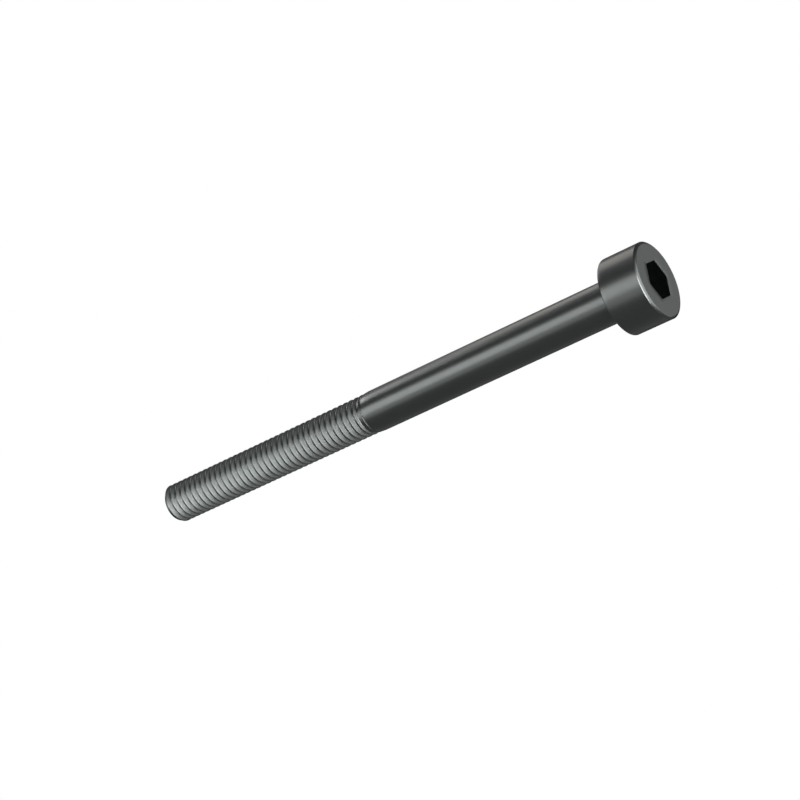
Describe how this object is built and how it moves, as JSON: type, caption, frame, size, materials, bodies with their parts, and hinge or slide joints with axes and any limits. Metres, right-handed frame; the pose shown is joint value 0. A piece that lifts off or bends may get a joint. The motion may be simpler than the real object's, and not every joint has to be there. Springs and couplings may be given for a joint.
{
  "type": "hex socket cap screw",
  "caption": "Cylinder-head screw with a hexagon socket in the head, a plain shank and a right-hand thread up to the tip.",
  "frame": {"origin": "centre of the bearing face under the head, on the screw's axis", "axes": "+Z along the axis from the head to the tip, so the screw stands on the end face of its head; a flat of the hexagon socket faces +X and one faces -X, and its corners point to +Y and -Y"},
  "size_m": [0.0054, 0.0054, 0.043],
  "materials": {
    "black_oxide_steel": "satin"
  },
  "bodies": {
    "root": {"cap_screw": "black_oxide_steel"}
  },
  "joints": []
}
